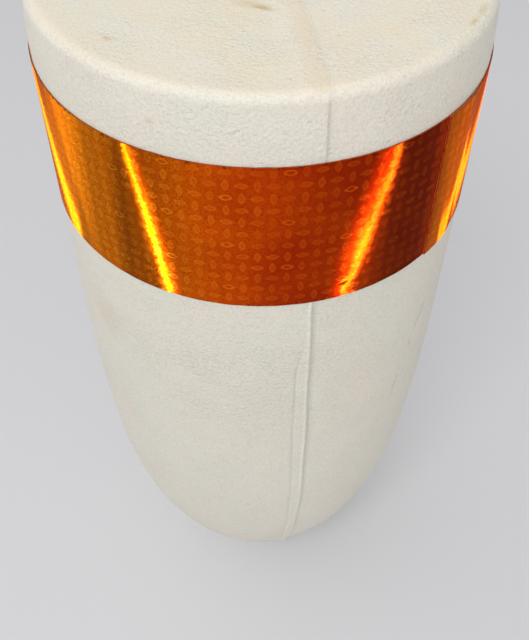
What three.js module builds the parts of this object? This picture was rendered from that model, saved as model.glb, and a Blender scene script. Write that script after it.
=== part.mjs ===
// Reflective marker made from a foam bullet float: a one-piece moulded foam body on a plastic
// core tube, with a strip of prismatic reflective tape wound once around it near the flat end.
// Units are millimetres and +Z is up. The float stands on its nose with its flat end up.
// The origin is at the centre of the nose's flat foot. Azimuth 0 is -Y, the front, and
// azimuth 90 degrees is +X.

import * as THREE from "three";

// Foam body
const FLOAT_RADIUS = 66;
const FLOAT_LENGTH = 287;
const SHOULDER_HEIGHT = 19.4; // from the tape's top edge to the flat end
const SHOULDER_DRAFT = 0.8; // radius lost between the tape and the rim
const RIM_RADIUS = 3;
const FOOT_RADIUS = 18;
const FOOT_BLEND_RADIUS = 28; // where the nose's curve begins to turn into the foot
const NOSE_TIP_RADIUS = 22; // the plain nose curve has this radius at the height of the foot
const NOSE_DEPTH_POWER = 5.33; // (r / R) ^ radius power + (depth / reach) ^ depth power = 1
const NOSE_RADIUS_POWER = 1.544;
const BORE_CHAMFER = 1.5;

// Core tube: half-inch nominal plastic pipe
const TUBE_OUTER_RADIUS = 10.65;
const TUBE_WALL = 2.77;
const TUBE_RECESS = 2; // from each end of the tube to the foam's face
const TUBE_GAP = 0.05;

// Tape: three laminated layers, cut from one roll
const TAPE_WIDTH = 50;
const ADHESIVE_THICKNESS = 0.1;
const PRISM_THICKNESS = 0.2;
const FILM_THICKNESS = 0.12;
const LAYER_GAP = 0.02;
const TAPE_END_AZIMUTH = 47; // the outer end of the strip, in degrees
const LAP_FACETS = 2; // how far the outer end lies over the inner end

// Facets
const FACETS = 72;
const FACET_ANGLE = (2 * Math.PI) / FACETS;
const NOSE_STEPS = 20;
const SHOULDER_STEPS = 4;
const RIM_STEPS = 5;
const FOOT_STEPS = 4;

const tapeTop = FLOAT_LENGTH - SHOULDER_HEIGHT;
const tapeBottom = tapeTop - TAPE_WIDTH;
const facetStart = THREE.MathUtils.degToRad(TAPE_END_AZIMUTH);
const footFraction = (1 - (NOSE_TIP_RADIUS / FLOAT_RADIUS) ** NOSE_RADIUS_POWER) ** (1 / NOSE_DEPTH_POWER);
const noseReach = tapeTop / footFraction;

function noseRadius(depth) {
  return FLOAT_RADIUS * (1 - (depth / noseReach) ** NOSE_DEPTH_POWER) ** (1 / NOSE_RADIUS_POWER);
}

function noseDepth(radius) {
  return noseReach * (1 - (radius / FLOAT_RADIUS) ** NOSE_RADIUS_POWER) ** (1 / NOSE_DEPTH_POWER);
}

// The foot's blend leaves the nose curve along its tangent and arrives flat.
function footBlend() {
  const depth = noseDepth(FOOT_BLEND_RADIUS);
  const probe = 0.01;
  const slope = (noseDepth(FOOT_BLEND_RADIUS) - noseDepth(FOOT_BLEND_RADIUS + probe)) / probe;
  const start = new THREE.Vector2(FOOT_BLEND_RADIUS, tapeTop - depth);
  const corner = new THREE.Vector2(FOOT_BLEND_RADIUS - start.y / slope, 0);
  const end = new THREE.Vector2(FOOT_RADIUS, 0);
  return new THREE.QuadraticBezierCurve(start, corner, end).getPoints(FOOT_STEPS);
}

// Half section of the foam body as (radius, height) points, from the bore at the foot, out
// around the nose, up the side, over the rim and back down the bore.
function floatProfile() {
  const bore = TUBE_OUTER_RADIUS + TUBE_GAP;
  const points = [new THREE.Vector2(bore, BORE_CHAMFER)];
  points.push(new THREE.Vector2(bore + BORE_CHAMFER, 0));
  points.push(...footBlend().reverse());
  const lowest = noseDepth(FOOT_BLEND_RADIUS);
  for (let i = NOSE_STEPS - 1; i >= 1; i--) {
    const depth = lowest * Math.sin((Math.PI / 2) * (i / NOSE_STEPS));
    points.push(new THREE.Vector2(noseRadius(depth), tapeTop - depth));
  }
  const rimCentre = FLOAT_LENGTH - RIM_RADIUS;
  for (let i = 0; i < SHOULDER_STEPS; i++) {
    const t = i / SHOULDER_STEPS;
    const radius = FLOAT_RADIUS - SHOULDER_DRAFT * t ** 2;
    points.push(new THREE.Vector2(radius, tapeTop + t * (rimCentre - tapeTop)));
  }
  const rimInner = FLOAT_RADIUS - SHOULDER_DRAFT - RIM_RADIUS;
  for (let i = 0; i <= RIM_STEPS; i++) {
    const angle = (Math.PI / 2) * (i / RIM_STEPS);
    const radius = rimInner + RIM_RADIUS * Math.cos(angle);
    points.push(new THREE.Vector2(radius, rimCentre + RIM_RADIUS * Math.sin(angle)));
  }
  points.push(new THREE.Vector2(bore + BORE_CHAMFER, FLOAT_LENGTH));
  points.push(new THREE.Vector2(bore, FLOAT_LENGTH - BORE_CHAMFER));
  points.push(points[0].clone());
  return points;
}

function tubeProfile() {
  const inner = TUBE_OUTER_RADIUS - TUBE_WALL;
  const low = TUBE_RECESS;
  const high = FLOAT_LENGTH - TUBE_RECESS;
  return [
    new THREE.Vector2(inner, low),
    new THREE.Vector2(TUBE_OUTER_RADIUS, low),
    new THREE.Vector2(TUBE_OUTER_RADIUS, high),
    new THREE.Vector2(inner, high),
    new THREE.Vector2(inner, low),
  ];
}

// Turns a (radius, height) profile around +Z, with its facets starting at the tape's end.
function turned(profile) {
  return new THREE.LatheGeometry(profile, FACETS, facetStart).rotateX(Math.PI / 2);
}

// One layer of the tape. It starts under the lap, runs once around the float towards smaller
// azimuths, climbs over its own start in one facet and ends on top of it.
function tapeLayer(innerRadius, thickness, lapLift) {
  const inner = [];
  const outer = [];
  for (let i = 0; i <= FACETS + LAP_FACETS; i++) {
    const azimuth = facetStart + (LAP_FACETS - i) * FACET_ANGLE;
    const radius = innerRadius + (i < FACETS ? 0 : lapLift);
    const direction = new THREE.Vector2(Math.sin(azimuth), -Math.cos(azimuth));
    inner.push(direction.clone().multiplyScalar(radius));
    outer.push(direction.clone().multiplyScalar(radius + thickness));
  }
  const outline = new THREE.Shape([...outer, ...inner.reverse()]);
  return new THREE.ExtrudeGeometry(outline, { depth: TAPE_WIDTH, bevelEnabled: false });
}

function part(name, geometry, color, roughness, metalness) {
  const material = new THREE.MeshStandardMaterial({ color, roughness, metalness });
  const mesh = new THREE.Mesh(geometry, material);
  mesh.name = name;
  return mesh;
}

const marker = new THREE.Group();

marker.add(part("float_body", turned(floatProfile()), 0xe6e1d3, 0.75, 0));
marker.add(part("core_tube", turned(tubeProfile()), 0xf2f2ee, 0.4, 0));

const tape = new THREE.Group();
tape.position.z = tapeBottom;
marker.add(tape);

const layers = [
  { name: "tape_adhesive", thickness: ADHESIVE_THICKNESS, color: 0xb9b4a6, roughness: 0.8, metalness: 0 },
  { name: "tape_prism_layer", thickness: PRISM_THICKNESS, color: 0xe65a0a, roughness: 0.3, metalness: 0.6 },
  { name: "tape_face_film", thickness: FILM_THICKNESS, color: 0xd9480a, roughness: 0.12, metalness: 0 },
];
const lapLift = layers.reduce((total, layer) => total + layer.thickness + LAYER_GAP, 0);

let layerRadius = FLOAT_RADIUS + LAYER_GAP;
for (const layer of layers) {
  const geometry = tapeLayer(layerRadius, layer.thickness, lapLift);
  tape.add(part(layer.name, geometry, layer.color, layer.roughness, layer.metalness));
  layerRadius += layer.thickness + LAYER_GAP;
}

export default marker;
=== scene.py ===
"""A foam bullet float with a band of orange reflective tape, which marks the edge of a driveway.

The CAD model is the frame. Each of its plain solids is replaced by a finer piece of the same size
in the same place. Lengths are metres, +Z is up, azimuth 0 is the front (-Y) and 90 degrees is +X.
"""

import math

import bpy
import numpy as np
from mathutils import Matrix, Vector, noise


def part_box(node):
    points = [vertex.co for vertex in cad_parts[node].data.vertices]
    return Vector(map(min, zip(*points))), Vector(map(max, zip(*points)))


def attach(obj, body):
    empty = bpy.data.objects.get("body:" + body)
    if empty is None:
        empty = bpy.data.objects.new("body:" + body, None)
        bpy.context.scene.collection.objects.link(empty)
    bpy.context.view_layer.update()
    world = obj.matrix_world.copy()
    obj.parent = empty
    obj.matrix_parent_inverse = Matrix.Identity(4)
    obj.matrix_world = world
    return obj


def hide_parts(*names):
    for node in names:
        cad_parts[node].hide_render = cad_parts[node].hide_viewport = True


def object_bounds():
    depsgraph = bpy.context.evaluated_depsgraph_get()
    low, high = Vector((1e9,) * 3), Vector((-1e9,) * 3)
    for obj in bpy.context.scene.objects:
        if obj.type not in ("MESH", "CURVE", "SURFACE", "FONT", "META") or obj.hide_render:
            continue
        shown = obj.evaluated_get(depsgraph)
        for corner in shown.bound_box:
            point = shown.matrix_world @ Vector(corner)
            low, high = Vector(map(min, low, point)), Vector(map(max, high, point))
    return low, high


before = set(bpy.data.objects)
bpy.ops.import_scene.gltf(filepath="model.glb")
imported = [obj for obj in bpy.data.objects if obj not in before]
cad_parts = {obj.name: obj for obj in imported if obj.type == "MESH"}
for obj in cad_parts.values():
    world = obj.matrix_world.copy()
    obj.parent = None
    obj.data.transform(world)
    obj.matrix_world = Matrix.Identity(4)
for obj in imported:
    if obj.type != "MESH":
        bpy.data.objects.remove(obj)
cad_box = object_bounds()

MM = 0.001

# Foam body, with the CAD model's dimensions
FLOAT_RADIUS = 66 * MM
FLOAT_LENGTH = cad_box[1][2]
SHOULDER_DRAFT = 0.8 * MM
RIM_RADIUS = 3.0 * MM
FOOT_RADIUS = 18 * MM
FOOT_BLEND_RADIUS = 28 * MM
NOSE_TIP_RADIUS = 22 * MM
NOSE_DEPTH_POWER = 5.33
NOSE_RADIUS_POWER = 1.544
BORE_CHAMFER = 1.5 * MM
BORE_LIP = 0.4 * MM
TUBE_GAP = 0.05 * MM
TUBE_WALL = 2.77 * MM

# Tape, with the CAD model's layers from the foam outwards, and its lap in degrees of azimuth
LAYER_GAP = 0.02 * MM
TAPE_LAYERS = {
    "tape_adhesive": 0.1 * MM,
    "tape_prism_layer": 0.2 * MM,
    "tape_face_film": 0.12 * MM,
}
TAPE_END_AZIMUTH = 47
LAP_ANGLE = 10
RAMP_ANGLE = 5
lap_lift = sum(TAPE_LAYERS.values()) + LAYER_GAP * len(TAPE_LAYERS)

# The mould's parting line, in degrees of azimuth
SEAM_AZIMUTH = 13.5

tube_low, tube_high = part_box("core_tube")
tape_low, tape_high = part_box("tape_face_film")
TUBE_RADIUS = tube_high.x
TAPE_TOP = tape_high.z
TAPE_BOTTOM = tape_low.z
TAPE_WIDTH = TAPE_TOP - TAPE_BOTTOM

# The camera, as found from the tape's edges and the body's outline
CAMERA_BACK = 231.3 * MM
CAMERA_ABOVE_TAPE = 137.0 * MM
CAMERA_DOWN = 49.5
CAMERA_PAN = -0.44
CAMERA_ROLL = 0.55
CAMERA_LENS = 49.43


def smoothstep(low, high, x):
    """A smooth rise from 0 to 1 as x goes from low to high."""
    t = np.clip((x - low) / (high - low), 0, 1)
    return t * t * (3 - 2 * t)


def around(azimuth, radius, height):
    """The point at that azimuth, in degrees, radius and height."""
    angle = math.radians(azimuth)
    return Vector((radius * math.sin(angle), -radius * math.cos(angle), height))


def noise_at(points, size, seed):
    """Perlin noise in -1 to 1 at each point, with features of about that size."""
    shift = Vector((seed * 7.31, seed * 3.17, seed * 5.53))
    return np.array([noise.noise(Vector(p) / size + shift) for p in points])


# ---------------------------------------------------------------- meshes


def add_mesh(name, points, faces):
    """A smooth-shaded mesh object, linked to the scene."""
    mesh = bpy.data.meshes.new(name)
    mesh.from_pydata(points.tolist(), [], faces.tolist())
    mesh.validate()
    mesh.update()
    mesh.shade_smooth()
    piece = bpy.data.objects.new(name, mesh)
    bpy.context.scene.collection.objects.link(piece)
    return piece


def ring_faces(rows, columns):
    """Quads over a grid of points that closes on itself both ways."""
    i, j = np.meshgrid(np.arange(rows), np.arange(columns), indexing="ij")
    down = (i + 1) % rows
    right = (j + 1) % columns
    corners = (i * columns + j, i * columns + right, down * columns + right, down * columns + j)
    return np.stack([c.ravel() for c in corners], axis=1)


def revolve(section, azimuths):
    """Points of a closed (radius, height) section at each azimuth, and its outward normals."""
    angle = np.radians(azimuths)[:, None]
    tangent = np.roll(section, -1, axis=0) - np.roll(section, 1, axis=0)
    tangent /= np.linalg.norm(tangent, axis=1)[:, None]
    out, up = tangent[:, 1], -tangent[:, 0]
    radius, height = section[:, 0], section[:, 1]
    heights = height + 0 * angle
    ups = up + 0 * angle
    points = np.stack([radius * np.sin(angle), -radius * np.cos(angle), heights], axis=-1)
    normals = np.stack([out * np.sin(angle), -out * np.cos(angle), ups], axis=-1)
    return points, normals


def stretch(start, end, step):
    """Evenly spaced numbers from start up to, but not including, end."""
    count = max(1, round(abs(end - start) / step))
    return np.linspace(start, end, count, endpoint=False)


def corner(centre, radius, start, end, steps):
    """An arc as (radius, height) points, from one angle to another, both in degrees."""
    angle = np.radians(np.linspace(start, end, steps))
    across = centre[0] + radius * np.cos(angle)
    up = centre[1] + radius * np.sin(angle)
    return np.stack([across, up], axis=1)


# ---------------------------------------------------------------- foam body


# The nose's curve runs from the tape's top edge down, and would be NOSE_REACH deep at the axis
tip_share = 1 - (NOSE_TIP_RADIUS / FLOAT_RADIUS) ** NOSE_RADIUS_POWER
NOSE_REACH = TAPE_TOP / tip_share ** (1 / NOSE_DEPTH_POWER)


def nose_radius(depth):
    """The nose's radius at that depth below the tape's top edge."""
    share = 1 - (depth / NOSE_REACH) ** NOSE_DEPTH_POWER
    return FLOAT_RADIUS * share ** (1 / NOSE_RADIUS_POWER)


def nose_depth(radius):
    """The depth below the tape's top edge at which the nose has that radius."""
    share = 1 - (radius / FLOAT_RADIUS) ** NOSE_RADIUS_POWER
    return NOSE_REACH * share ** (1 / NOSE_DEPTH_POWER)


def foot_blend():
    """The curve from the flat foot up to the nose, which it meets at the nose's own slope."""
    probe = 0.01 * MM
    end_height = TAPE_TOP - nose_depth(FOOT_BLEND_RADIUS)
    slope = (nose_depth(FOOT_BLEND_RADIUS) - nose_depth(FOOT_BLEND_RADIUS + probe)) / probe
    knee = FOOT_BLEND_RADIUS - end_height / slope
    points = []
    for t in np.linspace(0, 1, 10, endpoint=False):
        radius = (1 - t) ** 2 * FOOT_RADIUS + 2 * t * (1 - t) * knee + t * t * FOOT_BLEND_RADIUS
        points.append((radius, t * t * end_height))
    return points


def nose_curve():
    """The nose, from the blend up to the tape's top edge, with closer points low down."""
    turn = np.linspace(math.pi / 2, 0, 190, endpoint=False)
    share = 0.75 * turn / (math.pi / 2) + 0.25 * np.sin(turn)
    depths = nose_depth(FOOT_BLEND_RADIUS) * share
    return [(nose_radius(d), TAPE_TOP - d) for d in depths]


def shoulder_curve(rim_height):
    """The side above the tape's top edge, which draws in a little towards the rim."""
    rise = np.linspace(0, 1, 12, endpoint=False)
    radii = FLOAT_RADIUS - SHOULDER_DRAFT * rise * rise
    heights = TAPE_TOP + rise * (rim_height - TAPE_TOP)
    return np.stack([radii, heights], axis=1)


def float_section():
    """Half section of the foam body: up from the foot, over the rim and down the bore."""
    bore = TUBE_RADIUS + TUBE_GAP
    mouth = bore + BORE_CHAMFER
    rim_height = FLOAT_LENGTH - RIM_RADIUS
    flat = FLOAT_RADIUS - SHOULDER_DRAFT - RIM_RADIUS
    wall_end = 1.7 * BORE_CHAMFER
    parts = [
        [(r, 0) for r in stretch(mouth + BORE_LIP, FOOT_RADIUS, 1.2 * MM)],
        foot_blend(),
        nose_curve(),
        shoulder_curve(rim_height),
        corner((flat, rim_height), RIM_RADIUS, 0, 90, 9)[:-1],
        [(r, FLOAT_LENGTH) for r in stretch(flat, mouth + BORE_LIP, 1.3 * MM)],
        corner((mouth, FLOAT_LENGTH - BORE_CHAMFER), BORE_CHAMFER, 90, 180, 6),
        [(bore, h) for h in stretch(FLOAT_LENGTH - wall_end, wall_end, 40 * MM)],
        corner((mouth, BORE_CHAMFER), BORE_CHAMFER, 180, 270, 6),
    ]
    return np.concatenate([np.asarray(p, dtype=float).reshape(-1, 2) for p in parts])


def float_azimuths():
    """Azimuths of the body's meridians, closer together at the parting lines and the scuffs."""
    spans = [
        (8, 24, 0.25),
        (24, 39, 1.5),
        (39, 58.5, 0.5),
        (58.5, 189, 1.5),
        (189, 198, 0.3),
        (198, 368, 1.5),
    ]
    return np.concatenate([stretch(*span) for span in spans])


# Relief of the parting line. On the side below the tape it is a raised band, with a groove along
# its left edge, a crest along its right edge and a ditch past that; elsewhere it is a ledge.
BAND_HEIGHT = 0.4 * MM
GROOVE_DEPTH = 0.25 * MM
CREST_HEIGHT = 0.15 * MM
DITCH_DEPTH = 0.12 * MM
LEDGE_HEIGHT = 0.3 * MM
# Strength of the painted shade just past the ledge above the tape
LEDGE_SHADE = 0.35
# Heights between which the groove sets in below the tape, and between which the painted shading
# along the parting line comes up to full strength above the nose
GROOVE_START = (205 * MM, 185 * MM)
SEAM_SHADING_START = (60 * MM, 140 * MM)


def seam_lines(height):
    """Azimuths of the parting band's left and right edges at each height below the tape. Both
    edges wander, and the band narrows just under the tape and again towards the nose."""
    mm = height / MM
    right = SEAM_AZIMUTH + 0.1 + 0.85 * np.sin((160 - mm) / 60) + 0.12 * np.sin(mm / 7.3)
    right = right - 1.8 * smoothstep(75, 25, mm)
    left = SEAM_AZIMUTH - 2.9 + 0.45 * np.sin((110 - mm) / 38) + 0.1 * np.sin(mm / 5.1)
    left = left + 1.9 * smoothstep(182, 200, mm) + 0.35 * smoothstep(129, 126, mm)
    return left, right


def ridge(across, centre, width):
    """1 along a line, falling away over that width on both sides of it."""
    return np.exp(-((across - centre) / width) ** 2)


def seam_band(azimuth, radius, height):
    """Relief of the parting line's raised band below the tape, and its painted shading: shade past
    its right edge and in its groove, and a highlight on its crest.
    """
    left, right = seam_lines(height)
    from_left = np.radians(azimuth - left) * radius
    from_right = np.radians(azimuth - right) * radius
    in_from_left = smoothstep(-0.5 * MM, 0.4 * MM, from_left)
    in_from_right = smoothstep(0.9 * MM, -0.2 * MM, from_right)
    groove = ridge(from_left, -0.4 * MM, 0.4 * MM) * smoothstep(*GROOVE_START, height)
    crest = ridge(from_right, -0.5 * MM, 0.5 * MM)
    ditch = ridge(from_right, 1.1 * MM, 0.9 * MM)
    relief = BAND_HEIGHT * (in_from_left * in_from_right)
    relief = relief - GROOVE_DEPTH * groove + CREST_HEIGHT * crest - DITCH_DEPTH * ditch
    # Painted shade past the band's right edge and in its groove, and a painted highlight on its
    # crest, weaker towards the nose
    shading_and_scuffs = 0.35 * beside(from_right, 3.2 * MM) + 0.32 * groove - 0.45 * crest
    shading_and_scuffs = shading_and_scuffs * (0.45 + 0.55 * smoothstep(*SEAM_SHADING_START, height))
    return relief, shading_and_scuffs


def side_seam(azimuth, radius, height):
    """Relief and painted shading of the parting line on the side: a band below the tape, and a
    ledge above with painted shade just past it.
    """
    band_relief, band_shading = seam_band(azimuth, radius, height)
    across = np.radians(azimuth - SEAM_AZIMUTH) * radius
    above = smoothstep(TAPE_BOTTOM + 10 * MM, TAPE_TOP - 10 * MM, height)
    relief = band_relief * (1 - above) + ledge(across, 0.6 * MM) * above
    # Painted shade just past the ledge above the tape
    shading_and_scuffs = band_shading * (1 - above) + LEDGE_SHADE * beside(across, 2 * MM) * above
    return relief, shading_and_scuffs


def beside(across, width):
    """1 at the line, fading over that width on its far side; 0 on its near side."""
    return smoothstep(-0.1 * MM, 0.25 * MM, across) * smoothstep(width, 0.2 * width, across)


def ledge(across, softness):
    """A ledge: raised on the near side of the line, and sloping away just past it."""
    near = smoothstep(-9 * MM, -1 * MM, across)
    return LEDGE_HEIGHT * near * smoothstep(2 * softness, 0, across)


# The parting line on the flat end, from the rim inwards, in plan
TOP_SEAM = (Vector((14.6, -58.0)) * MM, Vector((9.2, -22.5)) * MM)


def top_seam(x, y):
    """Relief of the parting line on the flat end, which runs a little to one side of the bore."""
    start, end = TOP_SEAM
    along = (end - start).normalized()
    across = (x - start.x) * -along.y + (y - start.y) * along.x
    return ledge(-across, 1.2 * MM)


SCUFF_WIDTH = 0.7 * MM
SCUFF_DEPTH = 0.4 * MM
# How much darker the colour is along each scuff
SCUFF_DARKENING = 0.5
# Both ends of each scuff
SCUFFS = (
    (around(56.5, FLOAT_RADIUS, 189 * MM), around(51.5, FLOAT_RADIUS, 174 * MM)),
    (around(51.5, FLOAT_RADIUS, 173 * MM), around(51.4, FLOAT_RADIUS, 168 * MM)),
    (around(48.2, FLOAT_RADIUS, 159 * MM), around(45.5, FLOAT_RADIUS, 138 * MM)),
    (around(41.8, FLOAT_RADIUS, 138 * MM), around(39.8, FLOAT_RADIUS, 131 * MM)),
)


def crease(points, start, end, width):
    """1 along the straight line from start to end, fading out at both ends and across it."""
    start, end = np.array(start), np.array(end)
    along = end - start
    t = np.clip((points - start) @ along / (along @ along), 0, 1)
    distance = np.linalg.norm(points - (start + t[:, None] * along), axis=1)
    fade = smoothstep(0, 0.25, t) * smoothstep(1, 0.75, t)
    return fade * np.exp(-((distance / width) ** 2))


# Slow unevenness of the moulding: how far it swells, over what size, and its noise's seed
SWELLS = ((0.16 * MM, 28 * MM, 1), (0.07 * MM, 9 * MM, 2))


def float_surface(azimuths, points):
    """How far each point of the body stands off its plain section, and its painted shading along
    the parting line and darkening along the scuffs there.
    """
    rows, columns = points.shape[:2]
    flat = points.reshape(-1, 3)
    x, y, height = flat.T
    radius = np.hypot(x, y)
    azimuth = np.repeat((azimuths + 180) % 360 - 180, columns)
    relief = sum(rise * noise_at(flat, size, seed) for rise, size, seed in SWELLS)
    outside = radius > FOOT_BLEND_RADIUS
    on_side = smoothstep(FLOAT_LENGTH - 0.3 * MM, FLOAT_LENGTH - 3.5 * MM, height)
    shading_and_scuffs = np.zeros(len(flat))
    for turned in (azimuth, azimuth % 360 - 180):
        near = on_side * (outside & (np.abs(turned - SEAM_AZIMUTH) < 12))
        seam_relief, seam_shading = side_seam(turned, radius, height)
        relief += near * seam_relief
        shading_and_scuffs += near * seam_shading
    for start, end in SCUFFS:
        mark = crease(flat, start, end, SCUFF_WIDTH)
        relief -= SCUFF_DEPTH * mark
        shading_and_scuffs += SCUFF_DARKENING * mark
    relief += top_seam(x, y) * (1 - on_side) * (y < 0)
    above_bottom = smoothstep(TAPE_BOTTOM - 3 * MM, TAPE_BOTTOM, height)
    below_top = smoothstep(TAPE_TOP + 3 * MM, TAPE_TOP, height)
    # Plain under the tape, at the foot and around the bore
    relief *= 1 - above_bottom * below_top
    relief *= smoothstep(0, 12 * MM, height)
    relief *= smoothstep(TUBE_RADIUS + 1.5 * MM, TUBE_RADIUS + 6 * MM, radius)
    return relief.reshape(rows, columns), shading_and_scuffs


def make_float():
    """The foam body, with its painted shading along the parting line and its darkening along the
    scuffs kept as a number at each point for its material.
    """
    azimuths = float_azimuths()
    points, normals = revolve(float_section(), azimuths)
    relief, shading_and_scuffs = float_surface(azimuths, points)
    points += normals * relief[..., None]
    rows, columns = points.shape[:2]
    piece = add_mesh("foam_float", points.reshape(-1, 3), ring_faces(rows, columns))
    # Painted shading along the parting line and darkening along the scuffs, kept for the material
    marks = piece.data.attributes.new("shading_and_scuffs", "FLOAT", "POINT")
    marks.data.foreach_set("value", shading_and_scuffs)
    return piece


# ---------------------------------------------------------------- core tube


def make_tube():
    """The plastic pipe in the bore, with its cut edges eased."""
    inner = TUBE_RADIUS - TUBE_WALL
    edge = 0.4 * MM
    low, high = tube_low.z, tube_high.z
    heights = stretch(low + 2 * edge, high - 2 * edge, 12 * MM)
    outside = [(TUBE_RADIUS, h) for h in heights]
    inside = [(inner, h) for h in heights[::-1]]
    section = np.concatenate([
        corner((TUBE_RADIUS - edge, low + edge), edge, -90, 0, 4),
        outside,
        corner((TUBE_RADIUS - edge, high - edge), edge, 0, 90, 4),
        corner((inner + edge, high - edge), edge, 90, 180, 4),
        inside,
        corner((inner + edge, low + edge), edge, 180, 270, 4),
    ])
    points, _ = revolve(section, stretch(0, 360, 3.75))
    rows, columns = points.shape[:2]
    return add_mesh("bore_tube", points.reshape(-1, 3), ring_faces(rows, columns))


# ---------------------------------------------------------------- tape


BUBBLE_AZIMUTH = 20.6
BUBBLE_HEIGHT = TAPE_BOTTOM + 5.5 * MM
BUBBLE_RISE = 0.05 * MM
BUBBLE_LEAN = 0.35
FOLD_SLOPE = 0.28
FOLD_DEPTH = 0.6
CREASED_AZIMUTHS = (27, 14)
CREASED_WIDTH = 14 * MM
EDGE_WANDER = 0.1 * MM
# The same for every layer, so that their edges wander together
EDGE_SEED = 11


def bubble(azimuth, height):
    """How far the tape stands off the foam where it was laid over the seam and creased."""
    across = np.radians(azimuth - BUBBLE_AZIMUTH) * FLOAT_RADIUS
    up = height - BUBBLE_HEIGHT
    lean = across - BUBBLE_LEAN * up
    dome = np.exp(-((lean / (4.5 * MM)) ** 2) - (up / (5.5 * MM)) ** 2)
    from_fold = up - FOLD_SLOPE * across
    fold = np.exp(-((from_fold / (0.6 * MM)) ** 2) - (across / (1.7 * MM)) ** 2)
    return BUBBLE_RISE * dome * (1 - FOLD_DEPTH * fold)


def strip_azimuths():
    """Azimuths from the strip's inner end, once round the float and on over the lap to its outer
    end, closer together where it is creased."""
    first = TAPE_END_AZIMUTH + LAP_ANGLE
    last = TAPE_END_AZIMUTH - 360
    before, after = CREASED_AZIMUTHS
    spans = [(first, before, 1.0), (before, after, 0.25), (after, last, 1.0)]
    return np.concatenate([stretch(*span) for span in spans] + [[last]])


def strip_heights():
    """Heights across the strip, closer together at its bottom edge, where it is creased."""
    fine_top = TAPE_BOTTOM + CREASED_WIDTH
    fine = stretch(TAPE_BOTTOM, fine_top, 0.5 * MM)
    coarse = stretch(fine_top, TAPE_TOP, 2 * MM)
    return np.concatenate([fine, coarse, [TAPE_TOP]])


def wandering_heights(azimuths, heights):
    """The heights at each azimuth, with both cut edges wandering up and down a little. The noise
    is read along a helix, so that it doesn't repeat where the strip laps itself."""
    angle = np.radians(azimuths)
    helix = np.stack([np.sin(angle), -np.cos(angle), 0.02 * azimuths], axis=1)
    helix *= FLOAT_RADIUS
    bottom, top = [EDGE_WANDER * noise_at(helix, 5 * MM, EDGE_SEED + k) for k in (0, 1)]
    share = (heights - TAPE_BOTTOM) / TAPE_WIDTH
    return heights[None, :] + bottom[:, None] * (1 - share) + top[:, None] * share


def strip_faces(rows, columns):
    """Faces over rows of closed sections, each half outer side and half inner side, with a cap at
    both ends of the strip."""
    i, j = np.meshgrid(np.arange(rows - 1), np.arange(columns), indexing="ij")
    right = (j + 1) % columns
    quads = np.stack([
        (i * columns + j).ravel(),
        ((i + 1) * columns + j).ravel(),
        ((i + 1) * columns + right).ravel(),
        (i * columns + right).ravel(),
    ], axis=1)
    k = np.arange(columns // 2 - 1)
    cap = np.stack([k, k + 1, columns - 2 - k, columns - 1 - k], axis=1)
    last_row = (rows - 1) * columns
    return np.concatenate([quads, cap, last_row + cap[:, ::-1]])


def make_tape_layer(name, inner_radius, thickness):
    """One layer of the strip: once around the float, and over its own start at the end."""
    azimuths, heights = strip_azimuths(), strip_heights()
    angle = np.radians(azimuths)[:, None]
    lap_start = TAPE_END_AZIMUTH + LAP_ANGLE - 360
    climbed = (lap_start + RAMP_ANGLE - azimuths) / RAMP_ANGLE
    lift = lap_lift * smoothstep(0, 1, climbed)
    off = lift[:, None] + bubble(azimuths[:, None], heights[None, :])
    rise = wandering_heights(azimuths, heights)
    sides = []
    for side_radius in (inner_radius, inner_radius + thickness):
        radius = side_radius + off
        sides.append(np.stack([radius * np.sin(angle), -radius * np.cos(angle), rise], axis=-1))
    inner, outer = sides
    section = np.concatenate([outer, inner[:, ::-1]], axis=1)
    rows, columns = section.shape[:2]
    piece = add_mesh(name, section.reshape(-1, 3), strip_faces(rows, columns))
    sharpen_edges(piece)
    return piece


def sharpen_edges(piece, angle=math.radians(50)):
    """Keeps shading smooth over curved faces and sharp at cut edges."""
    bpy.context.view_layer.objects.active = piece
    piece.select_set(True)
    bpy.ops.object.shade_smooth_by_angle(angle=angle)
    piece.select_set(False)


# ---------------------------------------------------------------- material nodes


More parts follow.
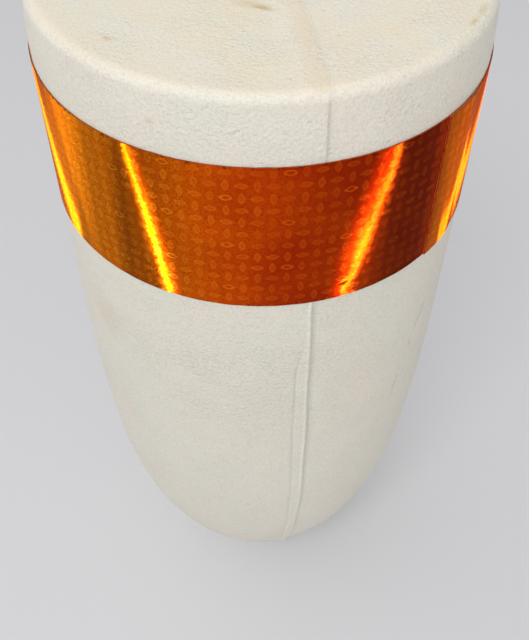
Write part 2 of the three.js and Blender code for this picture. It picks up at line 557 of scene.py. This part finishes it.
class Nodes:
    """Short calls for building one node tree. A value is a number, a colour or another node's
    output."""

    def __init__(self, tree, coordinates):
        self.tree = tree
        self.place = self.add("ShaderNodeTexCoord").outputs[coordinates]

    def add(self, kind, **settings):
        node = self.tree.nodes.new(kind)
        for key, value in settings.items():
            setattr(node, key, value)
        return node

    def put(self, socket, value):
        if isinstance(value, bpy.types.NodeSocket):
            self.tree.links.new(value, socket)
        else:
            socket.default_value = value

    def math(self, operation, a, b=0.0, c=0.0):
        node = self.add("ShaderNodeMath", operation=operation)
        for socket, value in zip(node.inputs, (a, b, c)):
            self.put(socket, value)
        return node.outputs[0]

    def times(self, first, *others):
        """The product of all the values."""
        product = first
        for other in others:
            product = self.math("MULTIPLY", product, other)
        return product

    def vector(self, operation, a, b=(0, 0, 0), scale=1.0):
        node = self.add("ShaderNodeVectorMath", operation=operation)
        self.put(node.inputs[0], a)
        self.put(node.inputs[1], b)
        if operation == "SCALE":
            self.put(node.inputs["Scale"], scale)
        gives_number = operation in ("LENGTH", "DOT_PRODUCT")
        return node.outputs["Value" if gives_number else "Vector"]

    def split(self, vector):
        node = self.add("ShaderNodeSeparateXYZ")
        self.put(node.inputs[0], vector)
        return tuple(node.outputs)

    def join(self, x, y, z):
        node = self.add("ShaderNodeCombineXYZ")
        for socket, value in zip(node.inputs, (x, y, z)):
            self.put(socket, value)
        return node.outputs[0]

    def noise(self, size, detail=2.0, roughness=0.5, place=None, distortion=0.0):
        """Noise from 0 to 1 with features of about that size."""
        node = self.add("ShaderNodeTexNoise")
        self.put(node.inputs["Vector"], place or self.place)
        self.put(node.inputs["Scale"], 1 / size)
        self.put(node.inputs["Detail"], detail)
        self.put(node.inputs["Roughness"], roughness)
        self.put(node.inputs["Distortion"], distortion)
        return node.outputs["Fac"]

    def cells(self, size):
        """Distance from the middle of the nearest cell, in cells of about that size."""
        node = self.add("ShaderNodeTexVoronoi", feature="F1")
        self.put(node.inputs["Vector"], self.place)
        self.put(node.inputs["Scale"], 1 / size)
        return node.outputs["Distance"]

    def ramp(self, value, low, high, to_low=0.0, to_high=1.0):
        """A smooth rise from to_low to to_high as value goes from low to high."""
        node = self.add("ShaderNodeMapRange", interpolation_type="SMOOTHSTEP")
        for socket, number in zip(node.inputs, (value, low, high, to_low, to_high)):
            self.put(socket, number)
        return node.outputs[0]

    def mix(self, factor, a, b):
        """Colour a where the factor is 0, and b where it is 1."""
        node = self.add("ShaderNodeMix", data_type="RGBA")
        self.put(node.inputs["Factor"], factor)
        self.put(node.inputs["A"], a)
        self.put(node.inputs["B"], b)
        return node.outputs["Result"]

    def bump(self, height, distance):
        """The surface's normal with that relief; a height of 1 stands that distance proud."""
        node = self.add("ShaderNodeBump")
        self.put(node.inputs["Height"], height)
        self.put(node.inputs["Distance"], distance)
        return node.outputs[0]

    def spot(self, centre, size, slant=0.0, length=1.0, fray=1.2):
        """1 inside a blot of that radius, 0 outside, with an uneven edge. A length over 1
        stretches it along the direction at that slant, in degrees, in plan."""
        mapping = self.add("ShaderNodeMapping", vector_type="TEXTURE")
        self.put(mapping.inputs["Vector"], self.place)
        self.put(mapping.inputs["Location"], tuple(centre))
        self.put(mapping.inputs["Rotation"], (0, 0, math.radians(slant)))
        self.put(mapping.inputs["Scale"], (length * size, size, size))
        distance = self.vector("LENGTH", mapping.outputs[0])
        uneven = self.math("MULTIPLY_ADD", self.noise(size * 0.5), fray, distance)
        return self.ramp(uneven, 1.05 + fray, 0.35 + fray * 0.4)


class Surface(Nodes):
    """The node tree of a material with one Principled shader."""

    def __init__(self, name):
        self.material = bpy.data.materials.new(name)
        self.material.use_nodes = True
        tree = self.material.node_tree
        tree.nodes.clear()
        super().__init__(tree, "Object")
        self.bsdf = self.add("ShaderNodeBsdfPrincipled")
        output = self.add("ShaderNodeOutputMaterial")
        self.put(output.inputs["Surface"], self.bsdf.outputs["BSDF"])

    def set(self, **values):
        """Gives the shader its values, by its sockets' names with _ for each space."""
        for key, value in values.items():
            self.put(self.bsdf.inputs[key.replace("_", " ")], value)


def linear(display):
    """A display value of 0 to 1 as linear light."""
    if display <= 0.04045:
        return display / 12.92
    return ((display + 0.055) / 1.055) ** 2.4


def rgb(red, green, blue):
    """A colour given as 0 to 255 display values, as linear light."""
    return (linear(red / 255), linear(green / 255), linear(blue / 255), 1.0)


# ---------------------------------------------------------------- materials


IVORY = rgb(231, 227, 214)
WARM_IVORY = rgb(233, 226, 213)
COOL_IVORY = rgb(224, 227, 214)
SPECKLE = rgb(206, 202, 190)
# Painted shade along the parting line, also used to darken the scuffs
SHADE_AND_SCUFF_GREY = rgb(158, 154, 140)
# Painted highlight on the parting line's crest
CREST_HIGHLIGHT = rgb(250, 248, 242)
AGED_TOP = rgb(234, 222, 196)
# Painted shade of the parting line's step on the flat end
SEAM_STEP_SHADE = rgb(226, 211, 184)
STAIN = rgb(196, 160, 96)
RIM_STAIN_HEIGHT = FLOAT_LENGTH - 0.2 * MM
# Each stain's centre, radius, slant in degrees, length over width, and strength
STAINS = (
    ((0.4 * MM, -27.2 * MM, FLOAT_LENGTH), 0.9 * MM, -23, 2.6, 0.6),
    ((-2.6 * MM, -25.6 * MM, FLOAT_LENGTH), 1.7 * MM, -23, 3.0, 0.25),
    ((-37.3 * MM, -41.6 * MM, FLOAT_LENGTH), 0.8 * MM, -20, 2.0, 0.4),
    (around(-23.8, FLOAT_RADIUS, 276.6 * MM), 0.9 * MM, 0, 1.4, 0.3),
    (around(-49, FLOAT_RADIUS, 187 * MM), 8 * MM, 0, 1.0, 0.13),
    (around(-23.5, FLOAT_RADIUS, 155 * MM), 1.4 * MM, 0, 1.0, 0.14),
    (around(-4, 62.7 * MM, 96 * MM), 0.9 * MM, 0, 1.0, 0.3),
    (around(58, 62.4 * MM, RIM_STAIN_HEIGHT), 0.7 * MM, 58, 3.0, 0.5),
    (around(64, 62.4 * MM, RIM_STAIN_HEIGHT), 0.9 * MM, 64, 3.5, 0.35),
)


def foam_tints(n):
    """Ivory, with slow warm and cool tints and a fine darker speckle."""
    warm = n.ramp(n.noise(34 * MM, 3), 0.35, 0.7)
    colour = n.mix(warm, IVORY, WARM_IVORY)
    elsewhere = n.vector("ADD", n.place, (1, 2, 3))
    cool = n.ramp(n.noise(21 * MM, 2, place=elsewhere), 0.45, 0.8, 0, 0.5)
    colour = n.mix(cool, colour, COOL_IVORY)
    speckle = n.ramp(n.noise(0.7 * MM, 2, 0.6), 0.42, 0.68, 0, 0.45)
    return n.mix(speckle, colour, SPECKLE)


def add_shading_and_scuffs(n, colour):
    """Painted shade along the parting line, and darker along the scuffs, where the mesh's value is
    above 0; a painted highlight on the parting line's crest where it is below.
    """
    shading_and_scuffs = n.add("ShaderNodeAttribute", attribute_name="shading_and_scuffs").outputs["Fac"]
    colour = n.mix(n.ramp(shading_and_scuffs, 0.0, 1.0), colour, SHADE_AND_SCUFF_GREY)
    return n.mix(n.ramp(shading_and_scuffs, 0.0, -1.0), colour, CREST_HIGHLIGHT)


def yellow_flat_end_and_shade_seam(n, colour):
    """The flat end is yellowed in patches, with painted shade of the parting line's step in a
    beige band along it.
    """
    x, y, z = n.split(n.place)
    top = n.ramp(z, FLOAT_LENGTH - 0.9 * MM, FLOAT_LENGTH - 0.1 * MM)
    patches = n.ramp(n.noise(16 * MM, 3), 0.3, 0.75, 0.1, 0.7)
    colour = n.mix(n.times(top, patches), colour, AGED_TOP)
    start, end = TOP_SEAM
    along = (end - start).normalized()
    past = n.math("MULTIPLY_ADD", x, along.y, along.x * start.y - along.y * start.x)
    past = n.math("MULTIPLY_ADD", y, -along.x, past)
    # Painted shade of the parting line's step, in a band along the line
    on_line = n.times(n.ramp(past, -6 * MM, -1 * MM), n.ramp(past, 1.5 * MM, 0.0))
    front = n.ramp(y, -10 * MM, -20 * MM, 0.0, 0.45)
    return n.mix(n.times(on_line, top, front), colour, SEAM_STEP_SHADE)


def add_stains(n, colour):
    """Tan blots on the flat end, along its rim and on the side."""
    for centre, size, slant, length, strength in STAINS:
        mask = n.times(n.spot(centre, size, slant, length), strength)
        colour = n.mix(mask, colour, STAIN)
    return colour


def foam_relief(n):
    """Fine pebbling, stronger in patches and in one leathery area, and small pits."""
    patches = n.ramp(n.noise(19 * MM, 2), 0.35, 0.65, 0.45, 1.0)
    leather = n.spot(around(0, FLOAT_RADIUS, 182 * MM), 36 * MM, fray=0.8)
    patches = n.math("MULTIPLY_ADD", leather, 0.7, patches)
    pebble = n.noise(1.05 * MM, 2, 0.55, distortion=0.6)
    pits = n.ramp(n.cells(5.5 * MM), 0.05, 0.13, 0.0, 0.3)
    return n.math("ADD", n.times(pebble, patches), pits)


def foam_material():
    """Moulded bead foam: matt ivory, with faint tints, a yellowed flat end and a few stains."""
    n = Surface("ivory_foam")
    colour = add_shading_and_scuffs(n, foam_tints(n))
    colour = add_stains(n, yellow_flat_end_and_shade_seam(n, colour))
    n.set(Base_Color=colour)
    n.set(Roughness=n.ramp(n.noise(3 * MM, 2), 0.3, 0.7, 0.45, 0.65))
    n.set(Subsurface_Weight=0.12, Subsurface_Radius=(0.004, 0.003, 0.0022), Subsurface_Scale=1.0)
    n.set(Specular_IOR_Level=0.35)
    n.set(Normal=n.bump(foam_relief(n), 0.42 * MM))
    return n.material


def tube_material():
    """White extruded plastic pipe, with faint draw lines along it."""
    n = Surface("white_pipe")
    lines = n.noise(1.2 * MM, 2, place=n.vector("MULTIPLY", n.place, (1, 1, 0.02)))
    colour = n.mix(n.ramp(lines, 0.3, 0.7, 0, 0.3), rgb(238, 238, 233), rgb(222, 221, 212))
    n.set(Base_Color=colour, Roughness=n.ramp(lines, 0.3, 0.7, 0.3, 0.42))
    n.set(Normal=n.bump(lines, 0.03 * MM))
    return n.material


def adhesive_material():
    """Pressure-sensitive adhesive at the tape's cut edges, with dust caught in it."""
    n = Surface("tape_glue")
    dust = n.ramp(n.noise(2.5 * MM, 3), 0.5, 0.68)
    n.set(Base_Color=n.mix(dust, rgb(172, 124, 88), rgb(84, 56, 38)), Roughness=0.7)
    n.set(Normal=n.bump(n.noise(0.6 * MM), 0.05 * MM))
    return n.material


LATTICE_COLUMNS = 104
LATTICE_ROW = 4.1 * MM
# Where the columns start, in columns from the front, their shift over the lap, and the height that
# the rows are counted from
LATTICE_PHASE = 0.31
LATTICE_LAP_SHIFT = 0.37
LATTICE_FOOT = TAPE_BOTTOM - 11.05 * MM
# Half the length and half the width of an oval, in millimetres
OVAL_LONG = 1.7
OVAL_SHORT = 0.92


def lattice_grid(n):
    """The lattice's column and row numbers at each place, fractions included."""
    x, y, z = n.split(n.place)
    turn = n.math("ARCTAN2", x, n.times(y, -1.0))
    radius = n.vector("LENGTH", n.join(x, y, 0.0))
    lapped = n.math("GREATER_THAN", radius, FLOAT_RADIUS + 1.2 * lap_lift)
    columns = LATTICE_COLUMNS / (2 * math.pi)
    u = n.math("MULTIPLY_ADD", turn, columns, LATTICE_COLUMNS - LATTICE_PHASE)
    u = n.math("MULTIPLY_ADD", lapped, LATTICE_LAP_SHIFT, u)
    v = n.math("DIVIDE", n.math("SUBTRACT", z, LATTICE_FOOT), LATTICE_ROW)
    return u, v


def from_middle(n, position, pitch):
    """Distance from the middle of the lattice cell, in millimetres."""
    offset = n.math("SUBTRACT", n.math("FRACT", position), 0.5)
    return n.math("ABSOLUTE", n.times(offset, pitch / MM))


def lattice(n):
    """The crystal lattice printed into the prisms, a chequerboard of upright and level pointed
    ovals: masks of their outlines, of their insides and of the stronger flowers that some cells
    hold, and how far out each place is in its oval, where 1 is about its edge."""
    u, v = lattice_grid(n)
    i, j = n.math("FLOOR", u), n.math("FLOOR", v)
    across = from_middle(n, u, 2 * math.pi * FLOAT_RADIUS / LATTICE_COLUMNS)
    along = from_middle(n, v, LATTICE_ROW)
    level = n.math("MODULO", n.math("ADD", i, j), 2.0)
    upright = n.math("SUBTRACT", 1.0, level)
    long_side = n.math("ADD", n.times(along, upright), n.times(across, level))
    short_side = n.math("ADD", n.times(across, upright), n.times(along, level))
    far = n.math("POWER", n.math("DIVIDE", long_side, OVAL_LONG), 1.35)
    near = n.math("POWER", n.math("DIVIDE", short_side, OVAL_SHORT), 1.5)
    size = n.math("SUBTRACT", n.math("ADD", far, near), 0.45)
    size = n.math("MULTIPLY_ADD", n.noise(0.7 * MM, 2), 0.9, size)
    outline = n.times(n.ramp(size, 0.45, 0.8), n.ramp(size, 1.25, 0.9))
    inside = n.ramp(size, 1.1, 0.8)
    diagonal = n.math("ADD", i, n.times(j, 2.0))
    flower = n.math("COMPARE", n.math("MODULO", diagonal, 8.0), 5.0, 0.1)
    flower = n.times(flower, n.math("COMPARE", n.math("MODULO", i, 4.0), 1.0, 0.1))
    return outline, inside, flower, size


PRISM_TILT = 30.0


def prism_normal(n, fray):
    """The prisms' facets lean upwards from the strip, and wander a little from cell to cell."""
    geometry = n.add("ShaderNodeNewGeometry").outputs["Normal"]
    lean = math.tan(math.radians(PRISM_TILT))
    tilted = n.vector("ADD", geometry, (0, 0, lean))
    grain = n.add("ShaderNodeTexNoise")
    n.put(grain.inputs["Vector"], n.vector("MULTIPLY", n.place, (0.3, 0.3, 1)))
    n.put(grain.inputs["Scale"], 1 / (0.45 * MM))
    n.put(grain.inputs["Detail"], 2.0)
    jitter = n.vector("SUBTRACT", grain.outputs["Color"], (0.5, 0.5, 0.5))
    jitter = n.vector("SCALE", jitter, scale=fray)
    return n.vector("NORMALIZE", n.vector("ADD", tilted, jitter))


# Colours of the tape, as linear light
PRISM_ORANGE = (0.82, 0.075, 0.001, 1)
PRISM_RED = (0.66, 0.04, 0.001, 1)
PRISM_DARK = (0.5, 0.03, 0.001, 1)
# Painted amber sheen of the prisms when seen at a slant
PRISM_SLANT_AMBER = (0.95, 0.26, 0.001, 1)
PRINT_ORANGE = (1.0, 0.14, 0.006, 1)
PRINT_YELLOW = (1.0, 0.4, 0.02, 1)
FLOWER_HEART = (0.4, 0.02, 0.001, 1)
EDGE_DIRT = (0.06, 0.012, 0.002, 1)
# Painted shade in the slit of the crease
CREASE_SHADE = (0.03, 0.014, 0.001, 1)


def slant_amber(n):
    """How strong the painted amber sheen is, 0 to 1, which stands in for the amber that the prisms
    show when seen at a slant: more and more round the left, and past its end.
    """
    x, y, _ = n.split(n.place)
    turn = n.math("ARCTAN2", x, n.times(y, -1.0))
    end = math.radians(TAPE_END_AZIMUTH)
    past_end = n.ramp(turn, end - 0.01, end + 0.01, 0.0, 0.55)
    past_end = n.times(past_end, n.ramp(y, 60 * MM, 0.0))
    return n.math("MAXIMUM", n.ramp(x, 12 * MM, -60 * MM), past_end)


def prism_colours(n):
    """The prisms' colour, with its painted amber sheen, and the lighter colour of what is printed
    into them.
    """
    # Painted amber sheen round the left and past the strip's end
    amber_sheen = slant_amber(n)
    red = n.ramp(n.noise(16 * MM, 3), 0.35, 0.65)
    colour = n.mix(amber_sheen, n.mix(red, PRISM_ORANGE, PRISM_RED), PRISM_SLANT_AMBER)
    dark = n.ramp(n.noise(0.6 * MM, 2), 0.35, 0.75, 0.0, 0.5)
    return n.mix(dark, colour, PRISM_DARK), n.mix(amber_sheen, PRINT_ORANGE, PRINT_YELLOW)


def print_lattice(n, colour, light):
    """The lattice over that colour, and how strongly each place is printed."""
    outline, inside, flower, size = lattice(n)
    clear = n.ramp(n.noise(9 * MM, 2), 0.3, 0.7, 0.3, 0.6)
    colour = n.mix(n.times(inside, n.times(clear, 0.6)), colour, light)
    strength = n.math("MAXIMUM", n.times(clear, 0.9), n.times(flower, 0.9))
    strength = n.times(outline, strength)
    colour = n.mix(strength, colour, light)
    heart = n.times(n.ramp(size, 0.5, 0.2), flower)
    colour = n.mix(n.times(heart, 0.3), colour, FLOWER_HEART)
    return colour, n.math("MAXIMUM", strength, n.times(inside, 0.4))


def dirty_edges(n, colour):
    """Specks of dirt along the tape's top and bottom edges."""
    z = n.split(n.place)[2]
    off_middle = n.math("ABSOLUTE", n.math("SUBTRACT", z, TAPE_TOP - TAPE_WIDTH / 2))
    from_edge = n.math("SUBTRACT", TAPE_WIDTH / 2, off_middle)
    specks = n.ramp(n.noise(1.3 * MM, 3), 0.56, 0.64)
    dirt = n.times(n.ramp(from_edge, 1.1 * MM, 0.2 * MM), specks)
    return n.mix(n.times(dirt, 0.7), colour, EDGE_DIRT)


def shade_crease_slit(n, colour):
    """Painted shade in the slit of the crease over the parting line."""
    middle = around(BUBBLE_AZIMUTH, FLOAT_RADIUS + lap_lift, BUBBLE_HEIGHT)
    apart = n.vector("SUBTRACT", n.place, tuple(middle))
    across = n.vector("DOT_PRODUCT", apart, tuple(around(BUBBLE_AZIMUTH + 90, 1, 0)))
    above = n.math("MULTIPLY_ADD", across, -FOLD_SLOPE, n.split(apart)[2])
    across_share = n.math("DIVIDE", across, 1.6 * MM)
    above_share = n.math("DIVIDE", above, 0.42 * MM)
    gap = n.vector("LENGTH", n.join(across_share, above_share, 0.0))
    return n.mix(n.ramp(gap, 1.1, 0.7), colour, CREASE_SHADE)


def film_material():
    """The tape as seen through its glossy film: orange prisms that mirror light in streaks."""
    n = Surface("orange_prismatic_film")
    colour, light = prism_colours(n)
    colour, marks = print_lattice(n, colour, light)
    colour = shade_crease_slit(n, dirty_edges(n, colour))
    n.set(Base_Color=colour, Metallic=n.math("MULTIPLY_ADD", marks, -0.1, 1.0))
    n.set(Roughness=n.math("MULTIPLY_ADD", marks, 0.04, 0.075))
    n.set(Specular_Tint=PRINT_YELLOW)
    n.set(Normal=prism_normal(n, 0.03))
    n.set(Coat_Weight=0.07, Coat_Roughness=0.03, Coat_IOR=1.4)
    return n.material


def prism_material():
    """The prism sheet's cut edge: a darker orange."""
    n = Surface("orange_prism_sheet")
    streaks = n.noise(0.8 * MM, 2)
    n.set(Base_Color=n.mix(n.ramp(streaks, 0.3, 0.7), rgb(140, 56, 12), rgb(86, 30, 6)))
    n.set(Roughness=0.35, Normal=n.bump(streaks, 0.03 * MM))
    return n.material


def floor_material():
    """Plain pale matt floor."""
    n = Surface("pale_floor")
    n.set(Base_Color=rgb(219, 220, 224), Roughness=0.6)
    return n.material


# ---------------------------------------------------------------- pieces


def show(piece, material, node):
    """Gives a piece its material and puts it in the place of its CAD node."""
    piece.data.materials.append(material)
    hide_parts(node)
    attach(piece, "root")


def make_pieces():
    """The foam body, its tube and the tape's layers, from the foam outwards."""
    show(make_float(), foam_material(), "float_body")
    show(make_tube(), tube_material(), "core_tube")
    looks = {
        "tape_adhesive": ("tape_glue_layer", adhesive_material(), "adhesive"),
        "tape_prism_layer": ("tape_prism_sheet", prism_material(), "prism_sheet"),
        "tape_face_film": ("tape_film", film_material(), "face_film"),
    }
    radius = FLOAT_RADIUS + LAYER_GAP
    for node, thickness in TAPE_LAYERS.items():
        name, material, slot = looks[node]
        show(make_tape_layer(name, radius, thickness), material, node)
        radius += thickness + LAYER_GAP


make_pieces()


# ---------------------------------------------------------------- camera


def camera_turn():
    """Looks along +Y, tipped down, with a small pan and roll."""
    level = Matrix.Rotation(math.radians(CAMERA_PAN), 3, "Z")
    tip = Matrix.Rotation(math.radians(90 - CAMERA_DOWN), 3, "X")
    roll = Matrix.Rotation(math.radians(CAMERA_ROLL), 3, "Z")
    return level @ tip @ roll


camera = bpy.data.objects.new("camera", bpy.data.cameras.new("camera"))
camera.data.lens = CAMERA_LENS
camera.data.clip_start = 0.01
camera.location = (0, -CAMERA_BACK, TAPE_TOP + CAMERA_ABOVE_TAPE)
camera.rotation_euler = camera_turn().to_euler()
bpy.context.scene.collection.objects.link(camera)
bpy.context.scene.camera = camera


# ---------------------------------------------------------------- floor and light


FLOOR_REACH = 4.0


def make_floor():
    """A plain square floor under the object."""
    reach = FLOOR_REACH
    corners = [(-reach, -reach, 0), (reach, -reach, 0), (reach, reach, 0), (-reach, reach, 0)]
    floor = add_mesh("floor", np.array(corners), np.array([[0, 1, 2, 3]]))
    floor.data.materials.append(floor_material())


def area_light(name, centre, across, up, facing, radiance, spread=180, colour=(1, 1, 1)):
    """A rectangular light with its long side along up, shining along facing. It shows that
    radiance straight ahead; a spread under 180 degrees keeps its light off what lies beside it."""
    up_side = up.normalized()
    back = -facing.normalized()
    side = up_side.cross(back).normalized()
    back = side.cross(up_side)
    data = bpy.data.lights.new(name, "AREA")
    data.shape = "RECTANGLE"
    data.size = across
    data.size_y = up.length
    data.energy = radiance * math.pi * across * up.length
    if spread < 180:
        half = math.radians(spread / 2)
        data.spread = 2 * half
        # Keeps the radiance, since a narrower spread of the same power would raise it
        data.energy *= (math.tan(half) - half) / math.tan(half)
    data.color = colour
    light = bpy.data.objects.new(name, data)
    turn = Matrix((side, up_side, back)).transposed().to_4x4()
    light.matrix_world = Matrix.Translation(centre) @ turn
    light.visible_camera = False
    bpy.context.scene.collection.objects.link(light)


def mirrored(azimuth, depth):
    """Where on the tape that azimuth and depth below its top edge are, and the direction that
    its leaning prisms show the camera there."""
    tilt = math.radians(PRISM_TILT)
    on_tape = around(azimuth, FLOAT_RADIUS + lap_lift, TAPE_TOP - depth)
    normal = around(azimuth, math.cos(tilt), math.sin(tilt))
    view = (camera.location - on_tape).normalized()
    return on_tape, 2 * normal.dot(view) * normal - view


STRIP_DISTANCE = 0.9
STRIP_SPREAD = 90
# How much longer each strip is than the streak that it makes
STRIP_OVERRUN = 1.15
RED_EDGE = (1.0, 0.45, 0.3)
PINK = (1.0, 0.75, 0.7)
WHITE = (1.0, 1.0, 1.0)
# Each strip light's streak: name, azimuth and depth below the tape's top edge at both of its ends,
# the strip's width, its brightness and its colour
STRIPS = (
    ("strip_left", (-30.6, 2 * MM), (-22.6, 49 * MM), 0.014, 11, WHITE),
    ("strip_left_low", (-27.0, 22 * MM), (-22.8, 49 * MM), 0.026, 7, WHITE),
    ("strip_left_edge", (-29.7, 2 * MM), (-21.7, 49 * MM), 0.025, 1.2, RED_EDGE),
    ("strip_left_haze", (-28.8, 2 * MM), (-20.8, 49 * MM), 0.05, 0.35, RED_EDGE),
    ("strip_right", (31.3, 2 * MM), (21.3, 50 * MM), 0.024, 10, WHITE),
    ("strip_right_low", (25.5, 26 * MM), (20.8, 50 * MM), 0.04, 5, WHITE),
    ("strip_right_edge", (29.5, 2 * MM), (19.3, 50 * MM), 0.045, 1.4, RED_EDGE),
    ("strip_right_haze", (28.0, 2 * MM), (17.8, 50 * MM), 0.06, 0.45, RED_EDGE),
    ("strip_far_left", (-69.5, 4 * MM), (-55.5, 49 * MM), 0.05, 4.5, WHITE),
    ("strip_far_right", (73, 8 * MM), (54.5, 49 * MM), 0.05, 4.5, WHITE),
    ("veil_left", (-60, 2 * MM), (-54, 40 * MM), 0.2, 0.25, PINK),
    ("veil_right", (61, 2 * MM), (53, 40 * MM), 0.2, 0.2, PINK),
)


def make_strips():
    """Narrow lights, each where the tape's prisms mirror it to the camera as its streak."""
    target = Vector((0, 0, TAPE_TOP - TAPE_WIDTH / 2))
    for name, upper, lower, width, radiance, colour in STRIPS:
        ends = [mirrored(*end) for end in (upper, lower)]
        high, low = [on_tape + STRIP_DISTANCE * direction for on_tape, direction in ends]
        along = (high - low) * STRIP_OVERRUN
        centre = (high + low) / 2
        area_light(name, centre, width, along, target - centre, radiance, STRIP_SPREAD, colour)


# Soft square lamps: name, azimuth, distance from the axis, height, side and brightness
LAMPS = (
    ("key", -15, 0.78, 1.3, 0.6, 7.8),
    ("fill", 4, 1.0, 1.05, 0.4, 6.0),
)


def make_lamps():
    """The studio's soft lamps, both aimed at the axis below the tape."""
    target = Vector((0, 0, TAPE_BOTTOM))
    for name, azimuth, distance, height, side, radiance in LAMPS:
        centre = around(azimuth, distance, height)
        area_light(name, centre, side, Vector((0, 0, side)), target - centre, radiance)


WORLD_COLOUR = (1.0, 0.995, 0.985, 1)
# Darker and brighter patches of the room for the tape to mirror: azimuth on the tape, depth below
# its top edge, the patch's radius and its soft edge's in degrees, and how much brighter it is
WORLD_PATCHES = (
    (38, 26 * MM, 9, 21, 0.65),
    (-33.5, 10 * MM, 1, 8, 0.75),
    (-30.5, 44 * MM, 3, 15, 0.6),
    (4, 25 * MM, 25, 55, 1.38),
    (58, 25 * MM, 9, 28, 2.0),
    (-59, 25 * MM, 9, 28, 2.2),
)


def make_world():
    """Soft light all round: brighter above and to the left, dimmer low down on the right."""
    world = bpy.data.worlds.new("studio")
    bpy.context.scene.world = world
    world.use_nodes = True
    n = Nodes(world.node_tree, "Generated")
    x, _, z = n.split(n.place)
    overhead = n.ramp(z, 0.25, 0.8, 0.5, 1.02)
    sideways = n.ramp(x, -0.9, 0.9, 0.93, 0.46)
    level = n.times(overhead, sideways)
    for azimuth, depth, inner, outer, factor in WORLD_PATCHES:
        nearness = n.vector("DOT_PRODUCT", n.place, mirrored(azimuth, depth)[1])
        outside, inside = math.cos(math.radians(outer)), math.cos(math.radians(inner))
        level = n.times(level, n.ramp(nearness, outside, inside, 1.0, factor))
    background = world.node_tree.nodes["Background"]
    n.put(background.inputs["Strength"], level)
    n.put(background.inputs["Color"], WORLD_COLOUR)


make_floor()
make_strips()
make_world()
make_lamps()

bpy.context.scene.view_settings.view_transform = "Standard"
